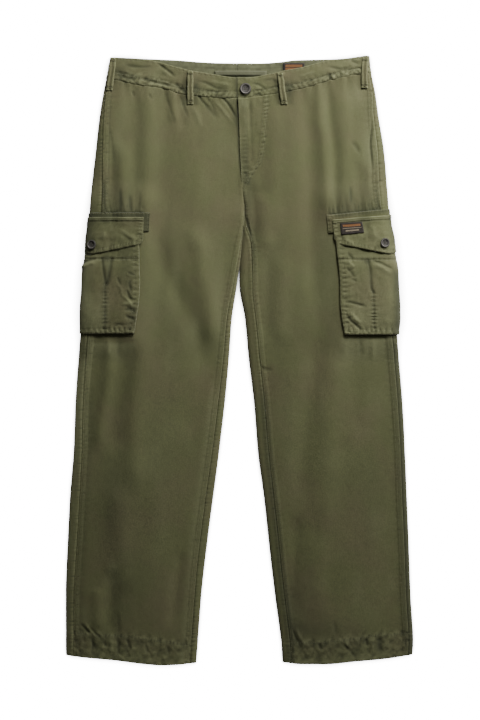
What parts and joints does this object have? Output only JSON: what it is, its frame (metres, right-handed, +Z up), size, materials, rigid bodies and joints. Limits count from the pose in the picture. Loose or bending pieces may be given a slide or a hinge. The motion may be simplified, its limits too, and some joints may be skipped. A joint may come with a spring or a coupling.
{
  "type": "cargo pants",
  "caption": "Straight-leg cotton cargo pants laid flat on their back: button and zip fly, belt loops, patch cargo pockets with flaps at the thighs",
  "frame": {"origin": "middle of the pants' plan box, on the surface they lie on", "axes": "+Z up from the surface, +Y along the legs to the waist, +X to the wearer's left"},
  "size_m": [0.6158, 1.081, 0.0294],
  "materials": {
    "cotton": "washed plain-weave cotton, matt, olive green",
    "tape": "woven cotton tape, lighter olive",
    "woven_label": "dense woven label, dark brown",
    "button": "turned four-hole button, dark grey, half gloss"
  },
  "bodies": {
    "root": {"front_right": "cotton", "front_left": "cotton", "back_right": "cotton", "back_left": "cotton", "waistband_right": "cotton", "waistband_left": "cotton", "fly_shield": "cotton", "belt_loop_front_right": "cotton", "belt_loop_front_left": "cotton", "belt_loop_side_right": "cotton", "belt_loop_side_left": "cotton", "belt_loop_back": "cotton", "cargo_stay_right": "cotton", "cargo_stay_left": "cotton", "cargo_pocket_right": "cotton", "cargo_pocket_left": "cotton", "cargo_flap_right": "cotton", "cargo_flap_left": "cotton", "hanger_tape": "tape", "label_waist": "woven_label", "label_flap": "woven_label", "button_waist": "button", "button_cargo_right": "button", "button_cargo_left": "button"}
  },
  "joints": []
}
